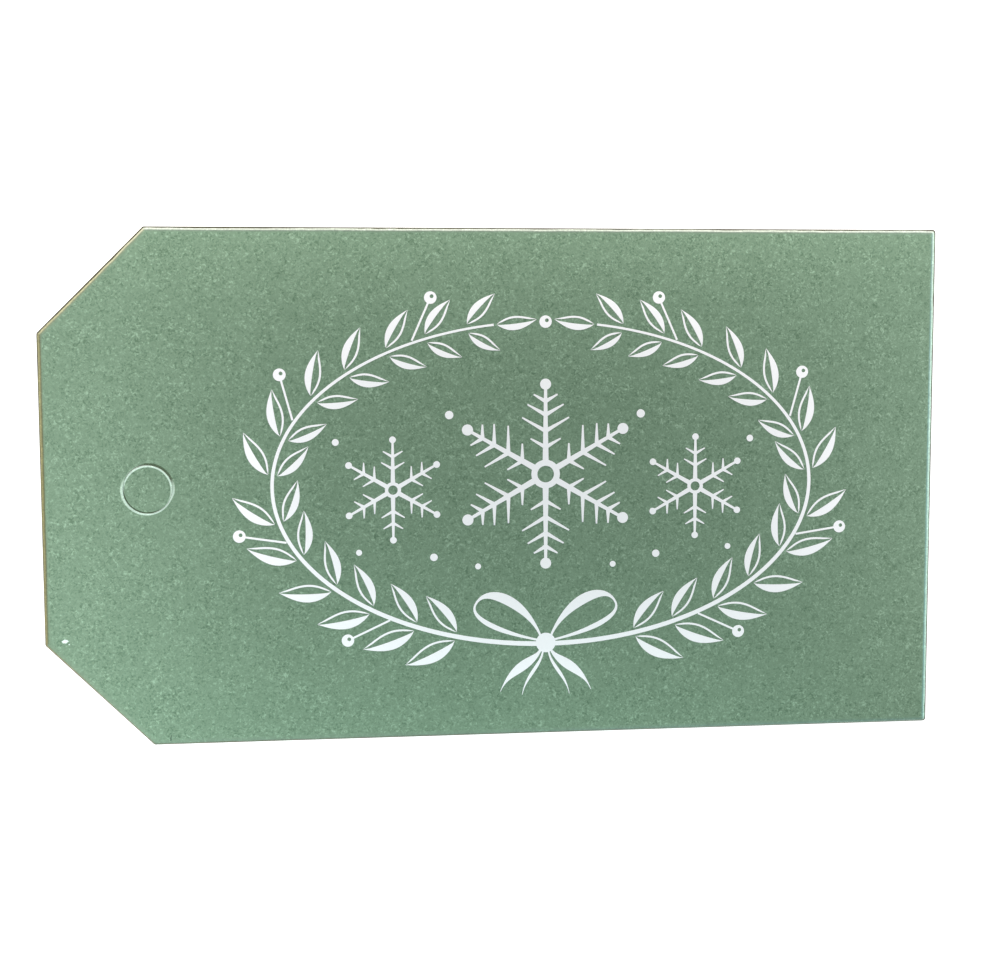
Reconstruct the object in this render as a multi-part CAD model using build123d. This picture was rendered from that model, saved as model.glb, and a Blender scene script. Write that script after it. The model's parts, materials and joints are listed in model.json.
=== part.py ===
"""A die-cut gift tag: a flat card, square at one end and cut-cornered at the tie end,
with its punch-out disc still seated in the tie hole.

Millimetres. The card lies face up on Z = 0, and the origin is the centre of its blank back.
+X runs from the tie end to the square end, and +Z is up, out of the printed face.
"""

import os

from build123d import *

# The card blank
TAG_LENGTH = 88.9
TAG_WIDTH = 50.8
CORNER_CUT = 10.2
CORNER_RADIUS = 0.3

# The plies that are pasted together into the card, from the printed face down
FACE_PLY = 0.15
CORE_PLY = 0.25
BACK_PLY = 0.1

# The tie hole, and how far its centre stands in from the tie end
HOLE_DIAMETER = 4.8
HOLE_INSET = 10.1

# The cut round the punch-out disc, and the uncut nicks that hold the disc in place
CUT_WIDTH = 0.08
NICK_WIDTH = 0.4
NICK_CLEARANCE = 0.02
NICK_COUNT = 2

# The cutting rule presses the face down along every cut: the radius of that rolled edge.
# A rolled edge takes at most this share of the ply or of the corner that it runs round.
EDGE_ROLL = 0.12
LARGEST_ROLL_SHARE = 0.9

# Places and sizes that follow from the values above
hole_radius = HOLE_DIAMETER / 2
hole_place = Pos(HOLE_INSET - TAG_LENGTH / 2, 0)
disc_radius = hole_radius - CUT_WIDTH
nick_reach = hole_radius - NICK_CLEARANCE
edge_roll = min(EDGE_ROLL, LARGEST_ROLL_SHARE * FACE_PLY, LARGEST_ROLL_SHARE * CORNER_RADIUS)


def card_profile():
    """The outline that the cutting die leaves, with its tie hole."""
    end = TAG_LENGTH / 2
    side = TAG_WIDTH / 2
    corners = [
        (end, -side),
        (end, side),
        (CORNER_CUT - end, side),
        (-end, side - CORNER_CUT),
        (-end, CORNER_CUT - side),
        (CORNER_CUT - end, -side),
    ]
    blank = make_face(Polyline(*corners, close=True))
    blank = fillet(blank.vertices(), CORNER_RADIUS)
    return blank - hole_place * Circle(hole_radius)


def disc_profile():
    """The round disc that the die leaves in the tie hole."""
    return hole_place * Circle(disc_radius)


def nicked_disc_profile():
    """The disc with the nicks that were left uncut, as far as each one reaches across the cut."""
    disc = Circle(disc_radius)
    for nick in range(NICK_COUNT):
        bar = Rectangle(nick_reach, NICK_WIDTH, align=(Align.MIN, Align.CENTER))
        disc += Rot(0, 0, nick * 360 / NICK_COUNT) * bar
    return hole_place * (disc & Circle(nick_reach))


def ply(profile, bottom, thickness):
    """One flat ply of that profile, with its underside at that height."""
    return extrude(Pos(0, 0, bottom) * profile, thickness)


def rolled(face):
    """A face ply with its upper edges rolled down by the cutting rule."""
    upper_edges = face.edges().group_by(Axis.Z)[-1]
    return fillet(upper_edges, edge_roll)


def make_nodes():
    """Every piece of the tag, by its name."""
    core_bottom = BACK_PLY
    face_bottom = BACK_PLY + CORE_PLY
    return {
        "printed_face": rolled(ply(card_profile(), face_bottom, FACE_PLY)),
        "card_core": ply(card_profile(), core_bottom, CORE_PLY),
        "blank_back": ply(card_profile(), 0, BACK_PLY),
        "disc_face": rolled(ply(disc_profile(), face_bottom, FACE_PLY)),
        "disc_core": ply(nicked_disc_profile(), core_bottom, CORE_PLY),
        "disc_back": ply(disc_profile(), 0, BACK_PLY),
    }


os.makedirs("parts", exist_ok=True)
for name, piece in make_nodes().items():
    export_step(piece, f"parts/{name}.step")
    box = piece.bounding_box()
    print(name, f"{piece.volume:.4f} mm3", box.min, box.max)
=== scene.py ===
# %% [markdown]
# A die-cut gift tag, dressed in Blender.
# The tag is a flat card, printed sage green on one side, with two corners cut off at the tie end.
# The round disc of the tie hole is still in its place, held by the cut that was made round it.
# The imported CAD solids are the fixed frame. This lesson gives them paper, ink and soft light.

# %% Load the frame
import json
import math

import bmesh
import bpy
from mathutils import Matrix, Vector, noise


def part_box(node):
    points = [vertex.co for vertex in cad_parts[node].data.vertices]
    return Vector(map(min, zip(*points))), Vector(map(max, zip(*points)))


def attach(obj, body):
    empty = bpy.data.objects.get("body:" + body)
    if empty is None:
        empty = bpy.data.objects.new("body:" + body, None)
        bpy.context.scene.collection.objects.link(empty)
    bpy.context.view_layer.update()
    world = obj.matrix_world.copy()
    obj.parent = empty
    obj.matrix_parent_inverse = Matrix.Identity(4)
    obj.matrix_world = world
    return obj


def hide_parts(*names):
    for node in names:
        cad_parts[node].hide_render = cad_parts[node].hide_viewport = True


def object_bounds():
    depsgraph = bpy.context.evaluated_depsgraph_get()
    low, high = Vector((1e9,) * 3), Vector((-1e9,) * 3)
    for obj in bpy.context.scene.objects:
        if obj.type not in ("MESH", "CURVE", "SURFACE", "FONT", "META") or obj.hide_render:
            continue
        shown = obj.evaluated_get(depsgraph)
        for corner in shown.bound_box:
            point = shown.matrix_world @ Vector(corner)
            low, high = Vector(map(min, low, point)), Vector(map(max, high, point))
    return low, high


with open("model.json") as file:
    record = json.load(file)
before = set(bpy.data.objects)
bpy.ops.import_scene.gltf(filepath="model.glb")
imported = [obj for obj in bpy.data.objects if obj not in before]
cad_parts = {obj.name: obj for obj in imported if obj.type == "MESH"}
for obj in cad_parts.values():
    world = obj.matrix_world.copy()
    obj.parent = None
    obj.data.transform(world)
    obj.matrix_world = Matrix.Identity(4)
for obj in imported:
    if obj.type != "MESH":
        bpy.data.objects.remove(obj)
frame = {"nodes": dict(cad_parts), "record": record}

cad_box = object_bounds()

# %% [markdown]
# Sizes come first. Blender works in metres here, in the CAD model's own frame, so most sizes are read
# from the CAD nodes. The few that the nodes can't tell are written once, in millimetres.

# %% Sizes that the pieces share
MM = 0.001
face_low, face_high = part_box("printed_face")
disc_low, disc_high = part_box("disc_face")
tie_hole = next(m for m in frame["record"]["mounts"] if m["name"] == "tie_hole")
hole_centre = Vector(tie_hole["pos_m"]).xy
hole_radius = tie_hole["dims"]["r_mm"] * MM
disc_radius = (disc_high.x - disc_low.x) / 2
face_top = face_high.z

CORNER_CUT = 10.2 * MM
CORNER_RADIUS = 0.3 * MM
print(f"face {face_high.x - face_low.x:.4f} x {face_high.y - face_low.y:.4f} m, top at {face_top:.5f}")
print(f"hole radius {hole_radius:.5f}, disc radius {disc_radius:.5f}")

# %% [markdown]
# The camera looks almost straight down from about 145 mm, as a hand held over the tag would.
# Its place, turn and focal length were worked out once from the six corners and the hole in the picture.
# The view is slightly off the lens axis, and the camera's shift takes that up.

# %% Camera
IMAGE_WIDTH_PX = 990
IMAGE_HEIGHT_PX = 970
FOCAL_PX = 1459.5
SENSOR_WIDTH_MM = 36.0
LENS_AXIS_PX = (537.7, 426.6)
CAMERA_OVER_FACE = Vector((-11.327, 17.753, 144.143)) * MM
CAMERA_TURN = (-0.0824, -0.1047, -0.0010)

camera_data = bpy.data.cameras.new("camera")
camera_data.sensor_fit = "HORIZONTAL"
camera_data.sensor_width = SENSOR_WIDTH_MM
camera_data.lens = SENSOR_WIDTH_MM * FOCAL_PX / IMAGE_WIDTH_PX
camera_data.shift_x = (IMAGE_WIDTH_PX / 2 - LENS_AXIS_PX[0]) / IMAGE_WIDTH_PX
camera_data.shift_y = (LENS_AXIS_PX[1] - IMAGE_HEIGHT_PX / 2) / IMAGE_WIDTH_PX
camera_data.clip_start = 1 * MM
camera = bpy.data.objects.new("camera", camera_data)
camera.location = CAMERA_OVER_FACE + Vector((0, 0, face_top))
camera.rotation_euler = CAMERA_TURN
bpy.context.scene.collection.objects.link(camera)
bpy.context.scene.camera = camera
bpy.context.scene.view_settings.view_transform = "Standard"
print(f"lens {camera_data.lens:.1f} mm, shift {camera_data.shift_x:.3f}, {camera_data.shift_y:.3f}")

# %% [markdown]
# The light is a weak sky and five soft lamps. A far key lamp stands low beyond the long top edge, a little to
# the right. Two narrow strips hang just outside the top and right edges, so the rolled edges of the cuts
# catch them on one side and fall into shade on the other. Two more lamps make the tie end and the lower edge
# a little lighter. Each lamp's power is worked out from the light level that it should give at the middle of
# the tag: all levels together come to about 1 there, at which a colour shows as it is written. A lamp is
# turned so that its first size lies level and its second one slopes.

# %% Lamps
WARM, COOL, WHITE = (1.0, 0.965, 0.91), (0.79, 1.0, 0.98), (1.0, 1.0, 1.0)


def soft_lamp(name, place, aim, size, level, colour):
    """A lamp with its place, aim and size in millimetres, that gives a light level at the tag's middle."""
    place = Vector(place) * MM
    axis = (Vector(aim) * MM - place).normalized()
    to_middle = Vector((0, 0, face_top)) - place
    way = to_middle.normalized()
    data = bpy.data.lights.new(name, "AREA")
    data.shape = "RECTANGLE"
    data.size, data.size_y = size[0] * MM, size[1] * MM
    data.color = colour
    data.energy = level * math.pi**2 * to_middle.length_squared / (axis.dot(way) * -way.z)
    lamp = bpy.data.objects.new(name, data)
    lamp.location = place
    lamp.rotation_euler = axis.to_track_quat("-Z", "Y").to_euler()
    lamp.visible_camera = False
    bpy.context.scene.collection.objects.link(lamp)
    print(f"{name}: {data.energy:.4f} W")


soft_lamp("key_lamp", (170, 400, 230), (0, 0, 0), (140, 140), 0.114, WARM)
soft_lamp("top_strip", (-6, 38, 11), (-6, 12, 0), (110, 4), 0.236, WARM)
soft_lamp("right_strip", (58, 5, 22), (30, 5, 0), (60, 5), 0.068, WHITE)
soft_lamp("tie_end_lamp", (-48, -6, 28), (-44, -6, 0), (60, 8), 0.097, WHITE)
soft_lamp("lower_lamp", (-12, -44, 26), (-12, -28, 0), (100, 12), 0.249, COOL)

# %% [markdown]
# The background is plain white. The floor is a pale surface that still takes the tag's shadow, and it adds
# a glow that only the camera, reflections and glass can see, so no extra light falls on the tag.
# The world does the same: white to look at, and a weak cool sky as a light.

# %% Floor and world
SKY_LEVEL = 0.285
SKY_COLOUR = (0.93, 1.0, 1.02, 1)
FLOOR_COLOUR = (0.50, 0.50, 0.50, 1)
FLOOR_GLOW = 0.87
FLOOR_HALF = 3.0


def seen_directly(tree):
    """A value of 1 on the rays that look at a surface: from the camera, a reflection or glass."""
    path = tree.nodes.new("ShaderNodeLightPath")
    total = path.outputs["Is Camera Ray"]
    for ray in ("Is Glossy Ray", "Is Transmission Ray"):
        either = tree.nodes.new("ShaderNodeMath")
        either.operation = "MAXIMUM"
        tree.links.new(total, either.inputs[0])
        tree.links.new(path.outputs[ray], either.inputs[1])
        total = either.outputs[0]
    return total


world = bpy.data.worlds.new("white_room")
bpy.context.scene.world = world
world.use_nodes = True
sky_tree = world.node_tree
sky_tree.nodes.clear()
sky_light = sky_tree.nodes.new("ShaderNodeBackground")
sky_light.inputs["Color"].default_value = SKY_COLOUR
sky_light.inputs["Strength"].default_value = SKY_LEVEL
sky_white = sky_tree.nodes.new("ShaderNodeBackground")
sky_white.inputs["Color"].default_value = (1, 1, 1, 1)
sky_mix = sky_tree.nodes.new("ShaderNodeMixShader")
sky_out = sky_tree.nodes.new("ShaderNodeOutputWorld")
sky_tree.links.new(seen_directly(sky_tree), sky_mix.inputs[0])
sky_tree.links.new(sky_light.outputs[0], sky_mix.inputs[1])
sky_tree.links.new(sky_white.outputs[0], sky_mix.inputs[2])
sky_tree.links.new(sky_mix.outputs[0], sky_out.inputs["Surface"])

floor_paint = bpy.data.materials.new("pale_floor")
floor_paint.use_nodes = True
floor_tree = floor_paint.node_tree
floor_tree.nodes.clear()
floor_matt = floor_tree.nodes.new("ShaderNodeBsdfDiffuse")
floor_matt.inputs["Color"].default_value = FLOOR_COLOUR
floor_glow = floor_tree.nodes.new("ShaderNodeEmission")
glow_level = floor_tree.nodes.new("ShaderNodeMath")
glow_level.operation = "MULTIPLY"
glow_level.inputs[1].default_value = FLOOR_GLOW
floor_sum = floor_tree.nodes.new("ShaderNodeAddShader")
floor_out = floor_tree.nodes.new("ShaderNodeOutputMaterial")
floor_tree.links.new(seen_directly(floor_tree), glow_level.inputs[0])
floor_tree.links.new(glow_level.outputs[0], floor_glow.inputs["Strength"])
floor_tree.links.new(floor_matt.outputs[0], floor_sum.inputs[0])
floor_tree.links.new(floor_glow.outputs[0], floor_sum.inputs[1])
floor_tree.links.new(floor_sum.outputs[0], floor_out.inputs["Surface"])

floor_mesh = bpy.data.meshes.new("floor")
floor_corners = [(-FLOOR_HALF, -FLOOR_HALF, 0), (FLOOR_HALF, -FLOOR_HALF, 0),
                 (FLOOR_HALF, FLOOR_HALF, 0), (-FLOOR_HALF, FLOOR_HALF, 0)]
floor_mesh.from_pydata(floor_corners, [], [(0, 1, 2, 3)])
floor_mesh.materials.append(floor_paint)
floor = bpy.data.objects.new("floor", floor_mesh)
floor.location.z = cad_box[0].z
bpy.context.scene.collection.objects.link(floor)
print("floor at", floor.location.z)

# %% [markdown]
# Paper is a felt of fibres. Seen close, it has a fine stippled relief, a little stronger in some patches than
# in others, with soft clouds of thicker and thinner felt in it. Every surface of the tag needs this, so it is
# a node group that is built once. It puts out a height for bump, a fine tone and a broad cloud tone, all
# about 0 to 1. Two powers shape the fine tone: one pulls weak wrinkles flat, so that single specks stand out,
# and one makes the light specks fewer and sharper than the dark ones.

# %% Node group: paper felt
def add_node(tree, kind, **values):
    """A node with its named inputs set; names that aren't inputs are the node's own settings."""
    node = tree.nodes.new(kind)
    for key, value in values.items():
        if key in node.inputs:
            node.inputs[key].default_value = value
        else:
            setattr(node, key, value)
    return node


def math_node(tree, operation, first, second):
    """One sum on two values or sockets; returns its output."""
    node = add_node(tree, "ShaderNodeMath", operation=operation)
    for place, value in enumerate((first, second)):
        if isinstance(value, bpy.types.NodeSocket):
            tree.links.new(value, node.inputs[place])
        else:
            node.inputs[place].default_value = value
    return node.outputs[0]


def remap(tree, value, low, high, new_low=0.0, new_high=1.0):
    """Stretches a value from one range to another, cut off at the ends."""
    node = add_node(tree, "ShaderNodeMapRange", clamp=True)
    for name, number in (("From Min", low), ("From Max", high), ("To Min", new_low), ("To Max", new_high)):
        node.inputs[name].default_value = number
    tree.links.new(value, node.inputs["Value"])
    return node.outputs["Result"]


def noise_node(tree, where, scale, detail, roughness, distortion=0.0):
    """Noise at that many waves to a metre; scale may be a socket."""
    node = add_node(tree, "ShaderNodeTexNoise", Detail=detail, Roughness=roughness, Distortion=distortion)
    tree.links.new(where, node.inputs["Vector"])
    if isinstance(scale, bpy.types.NodeSocket):
        tree.links.new(scale, node.inputs["Scale"])
    else:
        node.inputs["Scale"].default_value = scale
    return node.outputs["Fac"]


def new_group(name, inputs, outputs):
    """An empty shader node group with named float sockets, and its input and output nodes."""
    group = bpy.data.node_groups.new(name, "ShaderNodeTree")
    for label, value in inputs:
        socket = group.interface.new_socket(label, in_out="INPUT", socket_type="NodeSocketFloat")
        socket.default_value = value
    for label in outputs:
        group.interface.new_socket(label, in_out="OUTPUT", socket_type="NodeSocketFloat")
    return group, group.nodes.new("NodeGroupInput"), group.nodes.new("NodeGroupOutput")


FELT_WAVES = 2650
PIT_WAVES_SHARE = 2.0
PATCH_WAVES = 500
CLOUD_WAVES = 330
WORM_RANGE, WORM_REACH = (0.28, 0.72), (-0.68, 0.68)
PIT_RANGE, PIT_REACH = (0.26, 0.74), (-0.35, 0.35)
PATCH_RANGE, PATCH_REACH = (0.34, 0.66), (1.00, 1.80)
CLOUD_RANGE = (0.32, 0.68)
SPECK_POWER = 0.6
LIGHT_SPECK_POWER = 1.5

paper_felt, felt_in, felt_out = new_group(
    "paper_felt", [("Waves", FELT_WAVES)], ["Height", "Fine Tone", "Cloud Tone"])
felt_where = paper_felt.nodes.new("ShaderNodeTexCoord").outputs["Object"]
worm_waves = felt_in.outputs["Waves"]
pit_waves = math_node(paper_felt, "MULTIPLY", worm_waves, PIT_WAVES_SHARE)
worms = noise_node(paper_felt, felt_where, worm_waves, detail=1.0, roughness=0.6, distortion=1.6)
pits = noise_node(paper_felt, felt_where, pit_waves, detail=1.0, roughness=0.6, distortion=0.6)
patches = noise_node(paper_felt, felt_where, PATCH_WAVES, detail=1.0, roughness=0.5)
clouds = noise_node(paper_felt, felt_where, CLOUD_WAVES, detail=2.0, roughness=0.5)
both = math_node(paper_felt, "ADD", remap(paper_felt, worms, *WORM_RANGE, *WORM_REACH),
                 remap(paper_felt, pits, *PIT_RANGE, *PIT_REACH))
strength = math_node(paper_felt, "POWER", math_node(paper_felt, "ABSOLUTE", both, 0.0), SPECK_POWER)
specks = math_node(paper_felt, "MULTIPLY", both, strength)
uneven = math_node(paper_felt, "MULTIPLY", specks, remap(paper_felt, patches, *PATCH_RANGE, *PATCH_REACH))
fine = math_node(paper_felt, "POWER", remap(paper_felt, uneven, -1.0, 1.0), LIGHT_SPECK_POWER)
cloud = remap(paper_felt, clouds, *CLOUD_RANGE)
paper_felt.links.new(fine, felt_out.inputs["Height"])
paper_felt.links.new(fine, felt_out.inputs["Fine Tone"])
paper_felt.links.new(cloud, felt_out.inputs["Cloud Tone"])
print("group:", paper_felt.name, [s.name for s in paper_felt.interface.items_tree])

# %% [markdown]
# Ink lies unevenly on uncoated paper: it is thin on the tops of the fibres, and here and there a pinhole
# stays bare. The second group turns the felt's tones into an ink cover from 0, bare, to 1, full.

# %% Node group: ink cover
PINHOLE_WAVES = 2600
PINHOLE_RANGE = (0.70, 0.80)

ink_cover, cover_in, cover_out = new_group(
    "ink_cover", [("Fine Loss", 0.3), ("Cloud Loss", 0.2), ("Pinholes", 0.5)], ["Cover"])
cover_felt = ink_cover.nodes.new("ShaderNodeGroup")
cover_felt.node_tree = paper_felt
cover_where = ink_cover.nodes.new("ShaderNodeTexCoord").outputs["Object"]
pinhole_noise = noise_node(ink_cover, cover_where, PINHOLE_WAVES, detail=1.0, roughness=0.4)
losses = []
for tone, amount in (
    (cover_felt.outputs["Fine Tone"], "Fine Loss"),
    (cover_felt.outputs["Cloud Tone"], "Cloud Loss"),
    (remap(ink_cover, pinhole_noise, *PINHOLE_RANGE), "Pinholes"),
):
    losses.append(math_node(ink_cover, "MULTIPLY", tone, cover_in.outputs[amount]))
felt_loss = math_node(ink_cover, "ADD", losses[0], losses[1])
all_loss = math_node(ink_cover, "ADD", felt_loss, losses[2])
cover = math_node(ink_cover, "SUBTRACT", 1.0, all_loss)
ink_cover.links.new(remap(ink_cover, cover, 0.0, 1.0), cover_out.inputs["Cover"])
print("group:", ink_cover.name, [s.name for s in ink_cover.interface.items_tree])

# %% [markdown]
# Each finish is a Principled BSDF with the groups feeding its colour, roughness and bump. One function makes
# what all of them share, a matt shader with felt relief. Another adds two colours, mixed by a tone, and a
# roughness that follows the tone. A Mix node has several sockets of one name, so its colours go by number.

# %% Finishes
FELT_RELIEF = 0.020 * MM
PAPER_GLOSS = 0.3
FINE_SHARE = 0.4
MIX_FIRST, MIX_SECOND, MIX_RESULT = 6, 7, 2


def group_node(tree, group, **values):
    """A node group placed in a material with its own values."""
    node = tree.nodes.new("ShaderNodeGroup")
    node.node_tree = group
    for key, value in values.items():
        node.inputs[key.replace("_", " ")].default_value = value
    return node


def new_finish(name, relief):
    """A matt finish with a share of the felt's relief; returns it with its tree, shader and felt."""
    finish = bpy.data.materials.new(name)
    finish.use_nodes = True
    tree = finish.node_tree
    shader = tree.nodes["Principled BSDF"]
    shader.inputs["Specular IOR Level"].default_value = PAPER_GLOSS
    felt = group_node(tree, paper_felt)
    bump = add_node(tree, "ShaderNodeBump", Strength=1.0, Distance=relief * FELT_RELIEF)
    tree.links.new(felt.outputs["Height"], bump.inputs["Height"])
    tree.links.new(bump.outputs["Normal"], shader.inputs["Normal"])
    print("finish:", name)
    return finish, tree, shader, felt


def paper_finish(name, low_colour, high_colour, tone_of, rough, relief):
    """A matt paper or ink: tone_of(tree, felt) gives the 0 to 1 mix of the two colours."""
    finish, tree, shader, felt = new_finish(name, relief)
    tone = tone_of(tree, felt)
    mix = add_node(tree, "ShaderNodeMix", data_type="RGBA")
    tree.links.new(tone, mix.inputs["Factor"])
    mix.inputs[MIX_FIRST].default_value = (*low_colour, 1)
    mix.inputs[MIX_SECOND].default_value = (*high_colour, 1)
    tree.links.new(mix.outputs[MIX_RESULT], shader.inputs["Base Color"])
    tree.links.new(remap(tree, tone, 0.0, 1.0, *rough), shader.inputs["Roughness"])
    return finish


def cover_tone(fine_loss, cloud_loss, pinholes):
    """The tone of an ink: how much of it covers the paper."""
    def tone_of(tree, felt):
        return group_node(
            tree, ink_cover, Fine_Loss=fine_loss, Cloud_Loss=cloud_loss, Pinholes=pinholes
        ).outputs["Cover"]
    return tone_of


def felt_tone(tree, felt):
    """The tone of bare paper: mostly the broad clouds, with some of the fine felt."""
    part = math_node(tree, "MULTIPLY", felt.outputs["Fine Tone"], FINE_SHARE)
    rest = math_node(tree, "MULTIPLY", felt.outputs["Cloud Tone"], 1 - FINE_SHARE)
    return math_node(tree, "ADD", part, rest)


sage_print = paper_finish(
    "sage_print", (0.312, 0.445, 0.323), (0.093, 0.164, 0.101),
    cover_tone(fine_loss=0.88, cloud_loss=0.05, pinholes=0.30), rough=(0.86, 0.68), relief=1.0)
clear_paper = paper_finish(
    "clear_paper", (0.80, 0.83, 0.855), (0.985, 0.970, 1.0),
    cover_tone(fine_loss=0.14, cloud_loss=0.06, pinholes=0.0), rough=(0.8, 0.62), relief=0.3)
back_paper = paper_finish(
    "back_paper", (0.76, 0.755, 0.73), (0.85, 0.85, 0.835), felt_tone, rough=(0.85, 0.92), relief=0.6)
# The dark foot at the cut's outer edge is painted shade.
dark_foot_painted_shade = paper_finish(
    "dark_foot_painted_shade", (0.036, 0.032, 0.014), (0.085, 0.075, 0.040), felt_tone, rough=(0.6, 0.75), relief=0.4)
cut_board = paper_finish(
    "cut_board", (0.66, 0.63, 0.55), (0.84, 0.82, 0.76), felt_tone, rough=(0.88, 0.96), relief=1.0)

# %% [markdown]
# The steel rule of a cutting die presses the card down along every cut before it parts it. That leaves a
# rolled edge a few tenths of a millimetre wide. Its outer edge is a thin dark foot of painted shade. Above
# the foot the ink is cracked off, stretched or rubbed, and the rim's tints, not the same on all sides, are
# painted
# light and shade as well: white paper at the top and washed mint at the right, where the rim faces the lamps,
# straw and ochre at the tie end, and a mere brown line of painted shade along the lower cut and the bottom.
# The roll is a mesh: a cut wall, and a quarter of an ellipse from the wall to the flat face. Each vertex of
# the rim keeps the tint of its side as an attribute, and one finish reads it.

# %% Rim finish
RIM_ATTRIBUTE = "rim_tint"
RIM_UNEVEN = (0.80, 1.35)


def rim_finish(name, rough, relief):
    """A finish whose colour is the rim's tint of painted light and shade, made uneven by the felt."""
    finish, tree, shader, felt = new_finish(name, relief)
    tint = add_node(tree, "ShaderNodeAttribute", attribute_name=RIM_ATTRIBUTE)
    uneven = add_node(tree, "ShaderNodeMix", data_type="RGBA", blend_type="MULTIPLY")
    uneven.inputs["Factor"].default_value = 1.0
    tree.links.new(tint.outputs["Color"], uneven.inputs[MIX_FIRST])
    tree.links.new(remap(tree, felt.outputs["Fine Tone"], 0.0, 1.0, *RIM_UNEVEN), uneven.inputs[MIX_SECOND])
    tree.links.new(uneven.outputs[MIX_RESULT], shader.inputs["Base Color"])
    tree.links.new(remap(tree, felt.outputs["Cloud Tone"], 0.0, 1.0, *rough), shader.inputs["Roughness"])
    return finish


# The rim's colour is partly worn ink and partly painted light and shade, set by the way each side faces.
rim_wear_and_painted_light = rim_finish("rim_wear_and_painted_light", rough=(0.40, 0.55), relief=0.4)

# %% [markdown]
# One function makes a rolled rim from two loops of points, one on the cut edge and one where the face is
# flat. A table of sides gives the rim's wear together with its painted light and shade: for the way it faces,
# in degrees, it holds how far in the dark foot and the tinted rim end, in millimetres, and the rim's tints,
# outside at the foot and inside at the print. Between the sides the values blend. Past the tinted rim comes
# ink, or, on a fading rim, the inner tint runs out into the print.

# %% Rolled rims
BAND_STEPS = 4
RAGGED_WAVES = 900
CHIP_WAVES = 170
FOOT_RAGGED, RIM_RAGGED = 0.08, 0.03
LEAST_FOOT, MOST_RIM = 0.01, 0.99
RIM_POWER, FADE_POWER = 3, 0.4
INK_SLOT, BOARD_SLOT, FOOT_SLOT, RIM_SLOT = 0, 1, 2, 3
PRINT_TINT = Vector((0.170, 0.263, 0.178))
face_finishes = [sage_print, cut_board, dark_foot_painted_shade, rim_wear_and_painted_light]


def blend(first, last, share):
    return first + (last - first) * share


def ragged(point, amount):
    """An uneven amount along a rim, about plus or minus the amount given."""
    place = Vector((point.x, point.y, 0))
    return amount * (noise.noise(place * RAGGED_WAVES) + noise.noise(place * CHIP_WAVES))


def ring_faces(bm, first, second, slot):
    """Smooth quads between two loops of vertices."""
    count = len(first)
    for i in range(count):
        j = (i + 1) % count
        face = bm.faces.new((first[i], first[j], second[j], second[i]))
        face.material_index = slot
        face.smooth = True


def side_facing(sides, way):
    """The foot's end, the tinted rim's end and the two tints, painted light and shade, of a rim that faces a
    way.
    """
    angle = math.degrees(math.atan2(way.y, way.x)) % 360
    for first, last in zip(sides, sides[1:]):
        if angle <= last[0]:
            share = (angle - first[0]) / (last[0] - first[0])
            ends = [blend(a, b, share) for a, b in zip(first[1:3], last[1:3])]
            tints = [Vector(a).lerp(Vector(b), share) for a, b in zip(first[3:], last[3:])]
            return ends + tints


def turn_share(width, roll):
    """How much of a roll's quarter turn lies within a width of its cut edge."""
    return math.acos(1 - width / roll) / (math.pi / 2)


def rolled_rim(bm, edge, flat, low, top, roll, depth, sides, fading=False):
    """The wall and the roll of one cut; returns its lowest loop and the loop where the face is flat."""
    layer = bm.verts.layers.float_color.get(RIM_ATTRIBUTE) or bm.verts.layers.float_color.new(RIM_ATTRIBUTE)
    found = [side_facing(sides, e - f) for e, f in zip(edge, flat)]
    outer, inner = [side[2] for side in found], [side[3] for side in found]
    printed = [PRINT_TINT] * len(edge)

    def loop_at(places, tints):
        loop = []
        for place, tint in zip(places, tints):
            vert = bm.verts.new(place)
            vert[layer] = (*tint, 1)
            loop.append(vert)
        return loop

    def roll_at(shares, tints):
        places = []
        for e, f, share in zip(edge, flat, shares):
            turn = math.pi / 2 * share
            places.append((*e.lerp(f, 1 - math.cos(turn)), top - depth * (1 - math.sin(turn))))
        return loop_at(places, tints)

    foot_ends, rim_ends = [], []
    for e, side in zip(edge, found):
        foot_ends.append(max(LEAST_FOOT, turn_share(side[0] * MM, roll) + ragged(e, FOOT_RAGGED)))
        rim_ends.append(min(MOST_RIM, turn_share(side[1] * MM, roll) + ragged(e, RIM_RAGGED)))
    bands = [
        (FOOT_SLOT, foot_ends, outer, outer, 1),
        (RIM_SLOT, rim_ends, outer, inner, RIM_POWER),
        (RIM_SLOT if fading else INK_SLOT, [1.0] * len(edge), inner, printed, FADE_POWER),
    ]
    starts = [0.0] * len(edge)
    loops = [loop_at([(*p, low) for p in edge], outer), roll_at(starts, outer)]
    slots = [BOARD_SLOT]
    for slot, ends, first, last, power in bands:
        for step in range(1, BAND_STEPS + 1):
            share = step / BAND_STEPS
            tints = [a.lerp(b, share**power) for a, b in zip(first, last)]
            loops.append(roll_at([blend(a, b, share) for a, b in zip(starts, ends)], tints))
            slots.append(slot)
        starts = ends
    for slot, first, second in zip(slots, loops, loops[1:]):
        ring_faces(bm, first, second, slot)
    return loops[0], loops[-1]


def loop_edges(bm, *loops):
    """The mesh edges along closed loops of vertices."""
    edges = []
    for loop in loops:
        for a, b in zip(loop, loop[1:] + loop[:1]):
            edges.append(bm.edges.get((a, b)) or bm.edges.new((a, b)))
    return edges


def fill(bm, slot, *loops):
    """Flat triangles inside the first loop and outside the others."""
    made = bmesh.ops.triangle_fill(bm, use_beauty=True, use_dissolve=False, edges=loop_edges(bm, *loops))
    for item in made["geom"]:
        if isinstance(item, bmesh.types.BMFace):
            item.material_index = slot
            item.smooth = False


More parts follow.
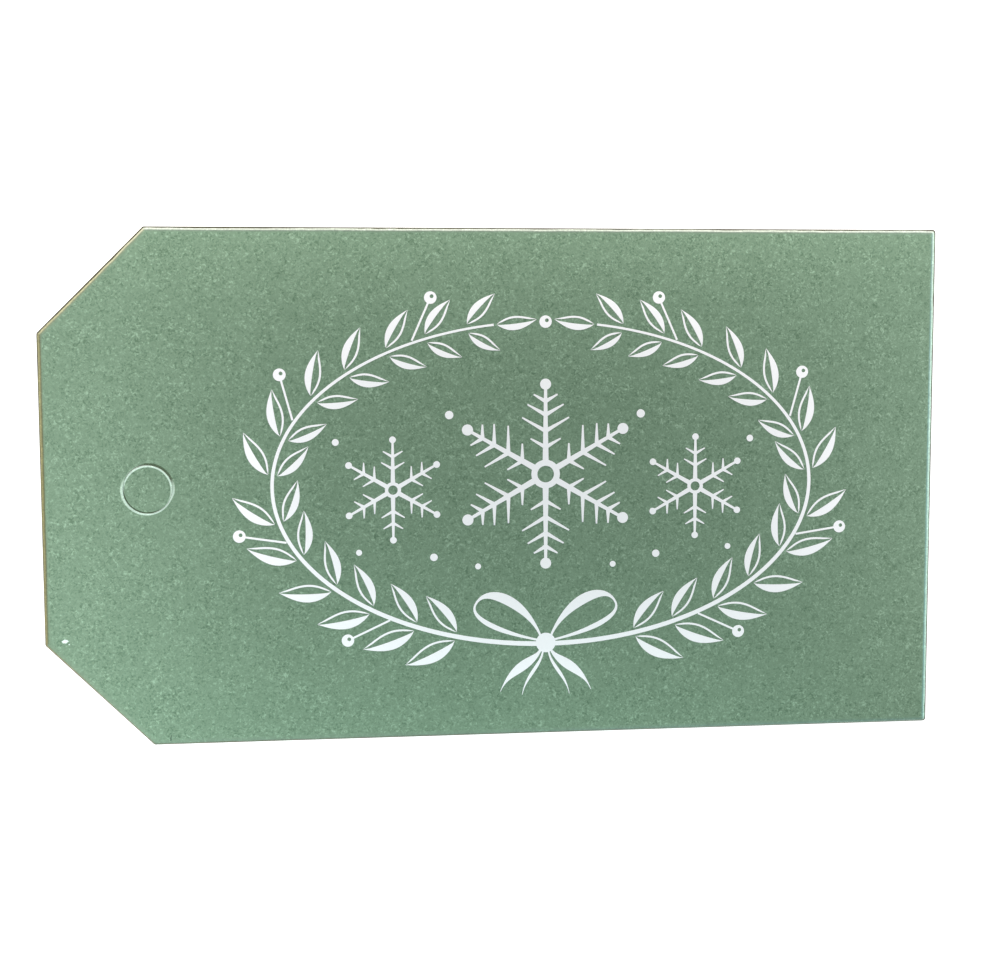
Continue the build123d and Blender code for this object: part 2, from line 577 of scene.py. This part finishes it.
def finish_piece(name, bm, body, finishes, replaces=None):
    """Turns a closed mesh into a piece that rides on a body."""
    bmesh.ops.recalc_face_normals(bm, faces=bm.faces)
    mesh = bpy.data.meshes.new(name)
    bm.to_mesh(mesh)
    open_edges = sum(1 for e in bm.edges if not e.is_manifold)
    bm.free()
    for item in finishes:
        mesh.materials.append(item)
    piece = bpy.data.objects.new(name, mesh)
    bpy.context.scene.collection.objects.link(piece)
    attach(piece, body)
    if replaces:
        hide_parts(replaces)
    print(f"{name}: {len(mesh.polygons)} faces, {open_edges} open edges")


# %% [markdown]
# The outline is a six-cornered shape with a small arc at each corner. Moved inwards, it keeps its count of
# points and its arcs get smaller, down to a least radius, so two such outlines can be joined point by point
# into a roll.

# %% Outline and outer sides
ARC_STEPS = 6
LEAST_RADIUS = 0.02 * MM
EDGE_STEP = 0.6 * MM
CIRCLE_STEPS = 128


def tag_corners():
    """The six corners of the card, anticlockwise from the lower right."""
    x0, y0, x1, y1 = face_low.x, face_low.y, face_high.x, face_high.y
    return [Vector(p) for p in (
        (x1, y0), (x1, y1), (x0 + CORNER_CUT, y1),
        (x0, y1 - CORNER_CUT), (x0, y0 + CORNER_CUT), (x0 + CORNER_CUT, y0),
    )]


def unit(angle):
    return Vector((math.cos(angle), math.sin(angle)))


def corner_arc(k, inset):
    """The points of one corner's arc on the outline that far inside the cut edge."""
    corners = tag_corners()
    along_in = (corners[k] - corners[k - 1]).normalized()
    along_out = (corners[(k + 1) % len(corners)] - corners[k]).normalized()
    inward = [Vector((-d.y, d.x)) for d in (along_in, along_out)]
    radius = max(CORNER_RADIUS - inset, LEAST_RADIUS)
    centre = corners[k] + (inward[0] + inward[1]) * (inset + radius) / (1 + inward[0].dot(inward[1]))
    start = math.atan2(-inward[0].y, -inward[0].x)
    turn = math.acos(along_in.dot(along_out))
    return [centre + radius * unit(start + turn * i / ARC_STEPS) for i in range(ARC_STEPS + 1)]


def outline(inset):
    """Points round the card, anticlockwise, that far inside its cut edge."""
    corners = tag_corners()
    points = []
    for k, corner in enumerate(corners):
        after = (k + 1) % len(corners)
        points += corner_arc(k, inset)
        first, last = points[-1], corner_arc(after, inset)[0]
        steps = round((corners[after] - corner).length / EDGE_STEP)
        points += [first.lerp(last, i / steps) for i in range(1, steps)]
    return points


def circle(radius):
    """Points round the tie hole's centre."""
    return [hole_centre + radius * unit(2 * math.pi * i / CIRCLE_STEPS) for i in range(CIRCLE_STEPS)]


OUTER_ROLL, OUTER_DEPTH = 0.55 * MM, 0.12 * MM
MINT, BLUE_SAGE = (0.545, 0.78, 0.655), (0.16, 0.33, 0.31)
WHITE_CREAM, GREY_SAGE = (0.66, 0.71, 0.61), (0.165, 0.215, 0.17)
STRAW, TAN = (0.53, 0.51, 0.315), (0.235, 0.235, 0.15)
OCHRE, OLIVE = (0.275, 0.25, 0.115), (0.080, 0.088, 0.030)
BROWN, TAN_GREEN = (0.26, 0.20, 0.125), (0.18, 0.25, 0.17)
UMBER, GREY_GREEN = (0.11, 0.10, 0.05), (0.145, 0.20, 0.15)
# These tints are painted light and shade: pale mint and white where the rim faces the lamps at the right and
# the top, straw, ochre and olive at the tie end, and brown and umber in shade at the lower cut and the
# bottom.
OUTER_SIDES = [
    (0, 0.125, 0.40, MINT, BLUE_SAGE),
    (70, 0.125, 0.34, WHITE_CREAM, GREY_SAGE),
    (100, 0.125, 0.34, WHITE_CREAM, GREY_SAGE),
    (135, 0.165, 0.34, STRAW, TAN),
    (180, 0.07, 0.34, OCHRE, OLIVE),
    (225, 0.03, 0.14, BROWN, TAN_GREEN),
    (270, 0.04, 0.11, UMBER, GREY_GREEN),
    (330, 0.10, 0.34, MINT, BLUE_SAGE),
    (360, 0.125, 0.40, MINT, BLUE_SAGE),
]

# %% [markdown]
# At the tie hole the cut is a fine line, and its two rolls almost meet over it. Their tints are painted light
# and shade: pale where the rolls face the tag's top edge, towards the lamps, and dark where they face its
# bottom edge, in shade.

# %% Printed face
HOLE_ROLL, DISC_ROLL, RING_DEPTH = 0.28 * MM, 0.20 * MM, 0.07 * MM
CUT_CLOSED = 0.03 * MM
# Ring tints of painted light and shade: mints where a roll faces the lamps, dark sage where it faces away.
PALE_MINT, SOFT_MINT, DULL_MINT = (0.58, 0.74, 0.63), (0.44, 0.58, 0.50), (0.36, 0.47, 0.37)
SIDE_LIT_SAGE, SHADED_SAGE = (0.24, 0.34, 0.25), (0.050, 0.085, 0.042)
HOLE_SIDES = [
    (0, 0, 0.262, PALE_MINT, DULL_MINT),
    (45, 0.014, 0.249, SOFT_MINT, DULL_MINT),
    (95, 0.014, 0.178, PALE_MINT, SOFT_MINT),
    (130, 0.014, 0.123, SOFT_MINT, SOFT_MINT),
    (155, 0.001, 0.115, PALE_MINT, DULL_MINT),
    (175, 0, 0.245, SOFT_MINT, DULL_MINT),
    (190, 0.001, 0.245, DULL_MINT, DULL_MINT),
    (204, 0.014, 0.219, SHADED_SAGE, SHADED_SAGE),
    (240, 0.014, 0.236, SHADED_SAGE, SHADED_SAGE),
    (275, 0.014, 0.194, SHADED_SAGE, SHADED_SAGE),
    (300, 0.014, 0.153, SIDE_LIT_SAGE, SIDE_LIT_SAGE),
    (330, 0.003, 0.115, SIDE_LIT_SAGE, SIDE_LIT_SAGE),
    (360, 0, 0.262, PALE_MINT, DULL_MINT),
]
DISC_SIDES = [
    (0, 0, 0.181, PALE_MINT, DULL_MINT),
    (50, 0.010, 0.181, PALE_MINT, SOFT_MINT),
    (130, 0.010, 0.181, PALE_MINT, SOFT_MINT),
    (165, 0.002, 0.153, SOFT_MINT, SIDE_LIT_SAGE),
    (195, 0.010, 0.124, SHADED_SAGE, SHADED_SAGE),
    (280, 0.010, 0.124, SHADED_SAGE, SHADED_SAGE),
    (315, 0.010, 0.082, SIDE_LIT_SAGE, SIDE_LIT_SAGE),
    (360, 0, 0.181, PALE_MINT, DULL_MINT),
]

face_mesh = bmesh.new()
outer_foot, outer_flat = rolled_rim(
    face_mesh, outline(0), outline(OUTER_ROLL), face_low.z, face_top,
    OUTER_ROLL, OUTER_DEPTH, OUTER_SIDES, fading=True)
hole_edge_radius = hole_radius - CUT_CLOSED
hole_foot, hole_flat = rolled_rim(
    face_mesh, circle(hole_edge_radius), circle(hole_edge_radius + HOLE_ROLL),
    face_low.z, face_top, HOLE_ROLL, RING_DEPTH, HOLE_SIDES)
fill(face_mesh, INK_SLOT, outer_flat, hole_flat)
fill(face_mesh, BOARD_SLOT, outer_foot, hole_foot)
finish_piece("face_sheet", face_mesh, "card", face_finishes, "printed_face")

# %% [markdown]
# The disc was printed with the card and cut out of it, so it has the same finish and the same rolled rim,
# turned outwards.

# %% Punch-out disc
disc_mesh = bmesh.new()
disc_edge_radius = disc_radius + CUT_CLOSED
disc_foot, disc_flat = rolled_rim(
    disc_mesh, circle(disc_edge_radius), circle(disc_edge_radius - DISC_ROLL),
    disc_low.z, disc_high.z, DISC_ROLL, RING_DEPTH, DISC_SIDES)
fill(disc_mesh, INK_SLOT, disc_flat)
fill(disc_mesh, BOARD_SLOT, disc_foot)
finish_piece("disc_sheet", disc_mesh, "punch_out_disc", face_finishes, "disc_face")

# %% [markdown]
# The core and back plies keep their CAD solids. Their shape is right as it is, and they only need a finish:
# cut board for the core, bare paper for the back.

# %% Core and back plies
for node, finish in (
    ("card_core", cut_board), ("disc_core", cut_board),
    ("blank_back", back_paper), ("disc_back", back_paper),
):
    slots = frame["nodes"][node].data.materials
    slots.clear()
    slots.append(finish)
    print(node, "is", finish.name)

# %% [markdown]
# The white ornament on the face is a wreath of bay leaves with berries and a bow, round three snow crystals.
# On a real tag it is clear paper that the green ink goes round. A face mesh with hundreds of fine holes would
# be hard to make and to change, so each white shape is a closed strip of mesh on the face, thinner than a
# hair. A strip that takes a left edge and a right edge, both from a formula, can draw every part: stems, leaf
# halves, berries, ribbons and crystals. A leaf is half filled and half outline, as engravers draw it.

# %% Strips of clear paper
STRIP_THICK = 0.016 * MM
STRIP_SUNK = 0.002 * MM
STRIP_RISE = 0.0001 * MM
WREATH_CENTRE = Vector((4.6, 0.0))
ornament = bmesh.new()
stroke_count = 0


def to_face(point, mirror):
    """A point of the ornament, in millimetres from its middle, as metres on the tag."""
    return (Vector((mirror * point.x, point.y)) + WREATH_CENTRE) * MM


def strip(left, right, mirror=1, closed=False):
    """A thin closed strip between two edges; each lies a trace higher than the one before."""
    global stroke_count
    stroke_count += 1
    top = face_top + STRIP_THICK + STRIP_RISE * stroke_count
    rows = []
    for a, b in zip(left, right):
        a, b = to_face(a, mirror), to_face(b, mirror)
        rows.append([ornament.verts.new((*p, z)) for p, z in (
            (a, face_top - STRIP_SUNK), (b, face_top - STRIP_SUNK), (b, top), (a, top))])
    pairs = list(zip(rows, rows[1:]))
    if closed:
        pairs.append((rows[-1], rows[0]))
    else:
        ornament.faces.new(rows[0])
        ornament.faces.new(rows[-1])
    for first, second in pairs:
        for k in range(4):
            m = (k + 1) % 4
            ornament.faces.new((first[k], first[m], second[m], second[k]))


def normals_of(points, closed=False):
    """The unit normal to the left of a line at each of its points."""
    count = len(points)
    found = []
    for i in range(count):
        before = points[i - 1] if i or closed else points[0]
        after = points[(i + 1) % count] if i + 1 < count or closed else points[-1]
        along = (after - before).normalized()
        found.append(Vector((-along.y, along.x)))
    return found


def stroke(points, half_widths, mirror=1, closed=False):
    """A pen stroke along a line, with a half width at each point."""
    normals = normals_of(points, closed)
    left = [p + n * w for p, n, w in zip(points, normals, half_widths)]
    right = [p - n * w for p, n, w in zip(points, normals, half_widths)]
    strip(left, right, mirror, closed)


# %% [markdown]
# A branch follows half of an ellipse. Its leaves stand in pairs, even steps apart, and get smaller to the
# tip. A berry is the space between two circles, the inner one moved up and to the right, so it looks round.

# %% Wreath
HALF_WIDE, HALF_HIGH = 27.0, 16.2
BRANCH_START, BRANCH_END = math.radians(-89), math.radians(79)
STEM_POINTS = 90
STEM_HALF, STEM_TIP_HALF = 0.24, 0.11
LEAF_PAIRS = 13
FIRST_PAIR_SHARE, LAST_PAIR_SHARE = 0.14, 0.965
LEAF_LENGTH, LEAF_TIP_LENGTH = 5.7, 4.0
LEAF_HALF_SHARE = 0.17
LEAF_LEAN = math.radians(38)
LEAF_BEND = 0.10
LEAF_BELLY = 0.85
LEAF_OFF_STEM, TIP_LEAF_OFF = 0.45, 0.3
LEAF_STEPS = 16
VEIN_HALF = 0.07
HAIRLINE = 0.20
POINT_HALF = 0.015
INNER_SHARE = 0.88
BERRY_RADIUS, BERRY_STALK, BERRY_LEAN = 0.62, 4.3, math.radians(44)
BERRY_STEPS = 28
BERRY_EVERY, FIRST_BERRY_PAIR, BERRY_AHEAD = 3, 1, 3
STALK_START, STALK_OVERLAP, STALK_HALF = 0.3, 0.1, 0.1
STALK_STEPS = 5
DOT_STEPS = 14


def on_ellipse(angle):
    return Vector((HALF_WIDE * math.cos(angle), HALF_HIGH * math.sin(angle)))


def leaf(base, heading, length, side, mirror):
    """A bay leaf, filled on one side of its vein and outlined on the other."""
    widest = LEAF_HALF_SHARE * length
    vein, halves = [], []
    for i in range(LEAF_STEPS + 1):
        t = i / LEAF_STEPS
        x, y = length * t, side * LEAF_BEND * length * (t - t * t)
        vein.append(base + Vector((x * math.cos(heading) - y * math.sin(heading),
                                   x * math.sin(heading) + y * math.cos(heading))))
        halves.append(POINT_HALF + widest * math.sin(math.pi * t**LEAF_BELLY))
    normals = normals_of(vein)
    full_edge = [p + side * n * w for p, n, w in zip(vein, normals, halves)]
    full_vein = [p + side * n * min(VEIN_HALF, w / 3) for p, n, w in zip(vein, normals, halves)]
    strip(full_edge, full_vein, mirror)
    thin_edge = [p - side * n * w for p, n, w in zip(vein, normals, halves)]
    thin_inner = [p - side * n * max(w - HAIRLINE, w / 2) for p, n, w in zip(vein, normals, halves)]
    strip(thin_edge, thin_inner, mirror)


def berry(centre, radius, mirror=1, light_share=0.3, lean=0.21):
    """A round berry with a light spot left open in it, a little up and to the right."""
    light = centre + radius * lean * Vector((mirror, 1))
    turns = [unit(2 * math.pi * i / BERRY_STEPS) for i in range(BERRY_STEPS)]
    outside = [centre + radius * u for u in turns]
    inside = [light + radius * light_share * u for u in turns]
    strip(outside, inside, mirror, closed=True)


def dot(centre, radius, mirror=1):
    """A round dot: a stroke whose width follows a circle."""
    turns = [math.pi * i / DOT_STEPS for i in range(DOT_STEPS + 1)]
    stroke([centre - Vector((radius * math.cos(t), 0)) for t in turns],
           [max(POINT_HALF, radius * math.sin(t)) for t in turns], mirror)


def stalked_berry(root, heading, mirror):
    """A berry on a short stalk."""
    way = unit(heading)
    reach = BERRY_STALK + STALK_OVERLAP
    stalk = [root + way * blend(STALK_START, reach, i / STALK_STEPS) for i in range(STALK_STEPS + 1)]
    stroke(stalk, [STALK_HALF] * len(stalk), mirror)
    berry(root + way * (BERRY_STALK + BERRY_RADIUS), BERRY_RADIUS, mirror)


def branch(mirror):
    """One half of the wreath, from the bow up to the tip."""
    stem = [on_ellipse(blend(BRANCH_START, BRANCH_END, i / STEM_POINTS)) for i in range(STEM_POINTS + 1)]
    stroke(stem, [blend(STEM_HALF, STEM_TIP_HALF, i / STEM_POINTS) for i in range(STEM_POINTS + 1)], mirror)
    lengths = [0.0]
    for a, b in zip(stem, stem[1:]):
        lengths.append(lengths[-1] + (b - a).length)
    for pair in range(LEAF_PAIRS):
        share = blend(FIRST_PAIR_SHARE, LAST_PAIR_SHARE, pair / (LEAF_PAIRS - 1))
        i = min(range(len(stem) - 1), key=lambda k: abs(lengths[k] - share * lengths[-1]))
        along = stem[i + 1] - stem[i]
        heading = math.atan2(along.y, along.x)
        length = blend(LEAF_LENGTH, LEAF_TIP_LENGTH, share)
        for side, part in ((-1, 1.0), (1, INNER_SHARE)):
            away = Vector((-along.y, along.x)).normalized() * side
            leaf(stem[i] + away * LEAF_OFF_STEM, heading + side * LEAF_LEAN, part * length, side, mirror)
        if pair % BERRY_EVERY == FIRST_BERRY_PAIR:
            stalked_berry(stem[i + BERRY_AHEAD], heading - BERRY_LEAN, mirror)
    tip_way = stem[-1] - stem[-2]
    tip_root = stem[-1] + tip_way.normalized() * TIP_LEAF_OFF
    leaf(tip_root, math.atan2(tip_way.y, tip_way.x), LEAF_TIP_LENGTH, 1, mirror)


for mirror in (1, -1):
    branch(mirror)
berry(Vector((0, HALF_HIGH)), BERRY_RADIUS)
print("wreath:", stroke_count, "strips")

# %% [markdown]
# The bow is drawn with a broad pen. Each loop is two Bezier curves in one stroke, which is thin at the knot
# and at the turn and swells between them. The loops stand up from the stems, and the tails hang below.

# %% Bow
KNOT_RISE, KNOT_RADIUS = 0.1, 1.0
KNOT = Vector((0, -HALF_HIGH + KNOT_RISE))
PEN_STEPS = 22


def bezier(p0, p1, p2, p3):
    """Points along one Bezier curve, measured from the knot."""
    points = []
    for i in range(PEN_STEPS + 1):
        t = i / PEN_STEPS
        s = 1 - t
        points.append(KNOT + s**3 * Vector(p0) + 3 * s * s * t * Vector(p1)
                      + 3 * s * t * t * Vector(p2) + t**3 * Vector(p3))
    return points


def pen_halves(first, thick, last):
    """Half widths along one curve, thin at both ends and thick in the middle."""
    halves = []
    for i in range(PEN_STEPS + 1):
        thin = blend(first, last, i / PEN_STEPS)
        halves.append((thin + (thick - thin) * math.sin(math.pi * i / PEN_STEPS) ** 2) / 2)
    return halves


for mirror in (1, -1):
    upper = bezier((0.45, 0.5), (1.7, 3.9), (6.0, 6.3), (7.1, 4.0))
    lower = bezier((7.1, 4.0), (7.8, 2.5), (4.2, 1.0), (0.6, 0.25))
    stroke(upper + lower[1:], pen_halves(0.2, 1.0, 0.2) + pen_halves(0.2, 0.5, 0.2)[1:], mirror)
    broad_tail = bezier((0.4, -0.45), (0.9, -2.0), (3.6, -2.4), (4.6, -4.9))
    stroke(broad_tail, pen_halves(0.2, 0.95, 0.05), mirror)
    thin_tail = bezier((0.25, -0.6), (0.4, -2.4), (2.0, -3.2), (2.4, -5.3))
    stroke(thin_tail, pen_halves(0.18, 0.34, 0.05), mirror)
dot(KNOT, KNOT_RADIUS)
print("with bow:", stroke_count, "strips")

# %% [markdown]
# A snow crystal has six equal arms, so one arm is drawn and turned five times. Every arm has side needles
# at 60 degrees and a bead at its end, and the heart is a small ring. Places and lengths on an arm are shares
# of the crystal's reach, and widths are shares of its pen.

# %% Snow crystals
ARM_COUNT = 6
ARM_START, ARM_END, ARM_TIP_PEN = 0.15, 0.95, 0.5
BEAD_SHARE, BEAD_PEN = 0.045, 0.5
NEEDLE_ANGLE = math.radians(60)
NEEDLE_PEN, NEEDLE_TIP_PEN = 0.7, 0.25
HEART_SHARE, HEART_OPEN = 0.16, 0.58
BIG_NEEDLES = ((0.30, 0.16), (0.48, 0.27), (0.66, 0.20), (0.81, 0.12))
SMALL_NEEDLES = ((0.42, 0.22), (0.66, 0.18))
SNOW_DOTS = ((9.6, 7.0, 0.42), (11.2, -7.2, 0.38), (20.8, 4.4, 0.34), (18.6, -6.6, 0.3), (6.8, -8.2, 0.3))


def taper(start, end, first_half, last_half, steps=6):
    """A straight stroke that narrows along its length."""
    stroke([start.lerp(end, i / steps) for i in range(steps + 1)],
           [blend(first_half, last_half, i / steps) for i in range(steps + 1)])


def crystal(centre, reach, pen, needles):
    """A six-armed snow crystal; needles holds pairs of place and length shares along an arm."""
    for arm in range(ARM_COUNT):
        heading = math.radians(90 + 360 / ARM_COUNT * arm)
        way = unit(heading)
        taper(centre + way * ARM_START * reach, centre + way * ARM_END * reach, pen, ARM_TIP_PEN * pen)
        dot(centre + way * reach, BEAD_SHARE * reach + BEAD_PEN * pen)
        for place, length in needles:
            for side in (-1, 1):
                out = unit(heading + side * NEEDLE_ANGLE)
                root = centre + way * place * reach
                taper(root, root + out * (length * reach + pen), NEEDLE_PEN * pen, NEEDLE_TIP_PEN * pen)
    berry(centre, HEART_SHARE * reach, light_share=HEART_OPEN, lean=0)


crystal(Vector((0, 1.0)), reach=9.0, pen=0.30, needles=BIG_NEEDLES)
for side in (-1, 1):
    crystal(Vector((15.2 * side, -0.4)), reach=5.0, pen=0.22, needles=SMALL_NEEDLES)
    for x, y, radius in SNOW_DOTS:
        dot(Vector((x * side, y)), radius)
finish_piece("white_ornament", ornament, "card", [clear_paper])

# %% [markdown]
# Handling has left its marks: near the lower cut corner a flake of ink is gone and white paper shows, with a
# crumb beside it, and a short crease runs in from the bottom edge. The crease is a dark line of painted
# shade, and a dark sliver along the flake's lower side is a painted shadow. Each is a thin closed patch that
# lies on the print.

# %% Worn spots and painted shade
FLAKE_PLACE = Vector((-42.54, -14.83))
FLAKE_EDGE = ((-0.35, 0.02), (-0.18, 0.13), (-0.04, 0.20), (0.20, 0.16), (0.36, 0.03),
              (0.22, -0.06), (0.10, -0.19), (-0.10, -0.15), (-0.20, -0.17))
FLAKE_SHADE = ((0.14, -0.27), (0.26, -0.20), (0.40, -0.10), (0.52, 0.0),
               (0.48, -0.08), (0.36, -0.19), (0.24, -0.27))
CRUMB_PLACE, CRUMB_RADIUS, CRUMB_SIDES = Vector((-42.16, -15.13)), 0.07, 6
CREASE_START, CREASE_END = Vector((-32.60, -24.42)), Vector((-32.66, -25.03))
CREASE_HALVES = (0.02, 0.045, 0.055, 0.06)
SPOT_THICK, SPOT_SUNK = 0.010 * MM, 0.020 * MM
WHITE_SLOT, SHADE_SLOT = 0, 1

flake_white = paper_finish(
    "flake_white", (0.62, 0.72, 0.68), (0.84, 0.93, 0.89), felt_tone, rough=(0.7, 0.9), relief=0.3)
# A dark patch of painted shade, for the crease and beside the flake.
crease_and_flake_painted_shade = paper_finish(
    "crease_and_flake_painted_shade", (0.050, 0.085, 0.058), (0.085, 0.135, 0.090), felt_tone, rough=(0.7, 0.9), relief=0.3)
spots = bmesh.new()


def patch(points, slot):
    """A thin closed patch inside a loop of points in millimetres."""
    low = [spots.verts.new((*(p * MM), face_top - SPOT_SUNK)) for p in points]
    high = [spots.verts.new((*(p * MM), face_top + SPOT_THICK)) for p in points]
    for face in (spots.faces.new(low), spots.faces.new(high)):
        face.material_index = slot
    for i in range(len(points)):
        j = (i + 1) % len(points)
        spots.faces.new((low[i], low[j], high[j], high[i])).material_index = slot


patch([FLAKE_PLACE + Vector(p) for p in FLAKE_EDGE], WHITE_SLOT)
patch([FLAKE_PLACE + Vector(p) for p in FLAKE_SHADE], SHADE_SLOT)
crumb_turns = [unit(math.radians(360 / CRUMB_SIDES * i)) for i in range(CRUMB_SIDES)]
patch([CRUMB_PLACE + CRUMB_RADIUS * u for u in crumb_turns], WHITE_SLOT)
crease_steps = len(CREASE_HALVES) - 1
crease = [(CREASE_START.lerp(CREASE_END, i / crease_steps), w) for i, w in enumerate(CREASE_HALVES)]
right_edge = [p + Vector((w, 0)) for p, w in crease]
left_edge = [p - Vector((w, 0)) for p, w in reversed(crease)]
patch(right_edge + left_edge, SHADE_SLOT)
finish_piece("wear_and_painted_shade_spots", spots, "card", [flake_white, crease_and_flake_painted_shade])
